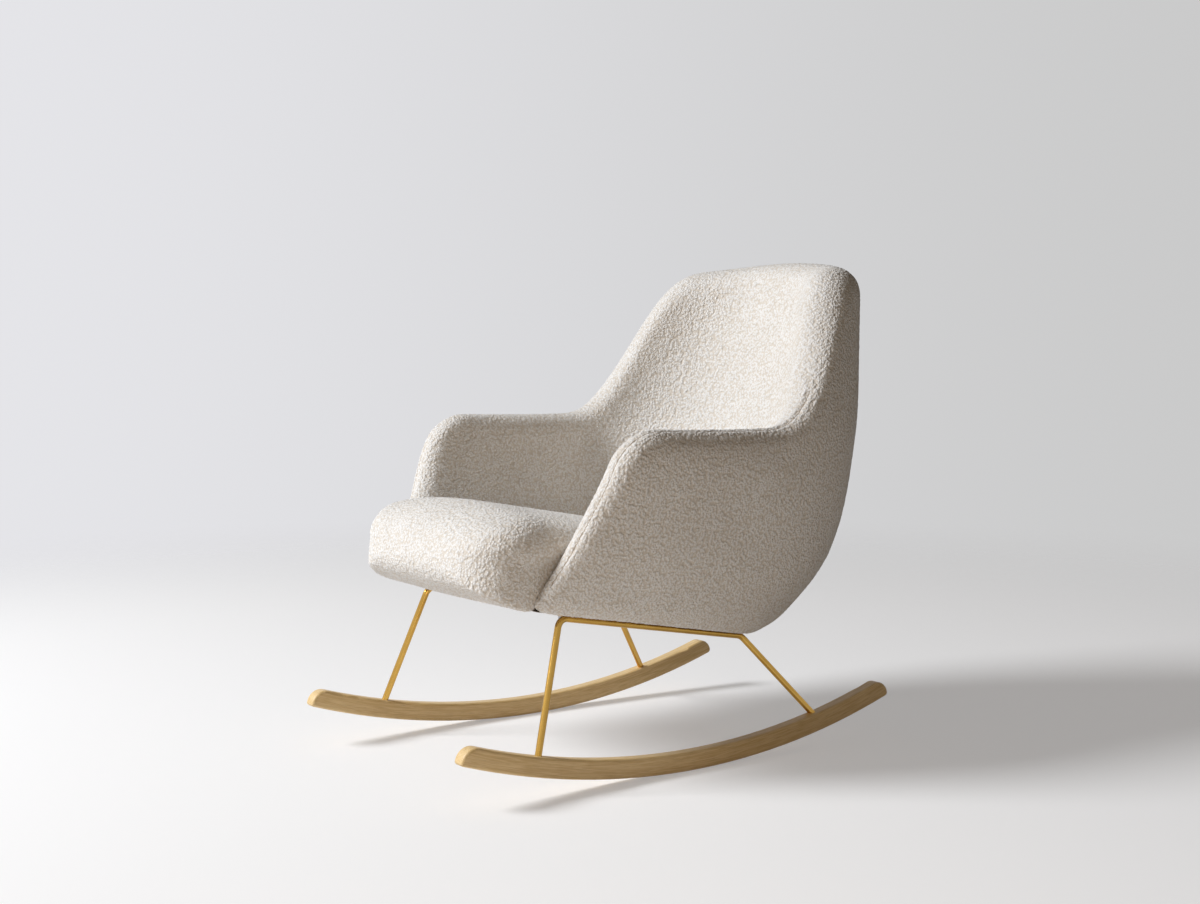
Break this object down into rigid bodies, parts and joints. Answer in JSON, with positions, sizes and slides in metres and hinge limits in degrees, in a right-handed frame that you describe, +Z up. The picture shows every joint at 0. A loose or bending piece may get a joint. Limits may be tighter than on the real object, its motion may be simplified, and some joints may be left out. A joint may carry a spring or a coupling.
{
  "type": "upholstered rocking chair",
  "caption": "Upholstered tub rocking chair with a high back, low arms and a thick fixed seat in looped fabric, on bent brass rod legs and curved wooden rockers.",
  "frame": {"origin": "on the floor, under the middle of the bounding box", "axes": "+Z up, -Y the way the sitter faces, +X the sitter's left"},
  "size_m": [0.6438, 0.9141, 0.845],
  "materials": {
    "ash": "satin",
    "brass_rod": "satin",
    "steel": "satin",
    "moulded_wood": "matte",
    "frame_timber": "matte",
    "webbing": "matte",
    "dust_cloth": "matte",
    "foam": "matte",
    "boucle": "matte"
  },
  "bodies": {
    "root": {"left_rocker": "ash", "right_rocker": "ash", "screw_plugs": "ash", "left_side_frame": "brass_rod", "right_side_frame": "brass_rod", "front_cross_bar": "brass_rod", "rear_cross_bar": "brass_rod", "leg_screws": "steel", "seat_bolts": "steel", "seat_washers": "steel", "tee_nuts": "steel", "frame_screws": "steel", "moulded_shell": "moulded_wood", "left_seat_rail": "frame_timber", "right_seat_rail": "frame_timber", "front_seat_rail": "frame_timber", "rear_seat_rail": "frame_timber", "frame_dowels": "frame_timber", "corner_blocks": "frame_timber", "lengthwise_webbing": "webbing", "crosswise_webbing": "webbing", "dust_cover": "dust_cloth", "seat_foam": "foam", "back_foam": "foam", "left_arm_foam": "foam", "right_arm_foam": "foam", "left_arm_roll": "foam", "right_arm_roll": "foam", "seat_cover": "boucle", "tub_cover": "boucle"}
  },
  "joints": []
}
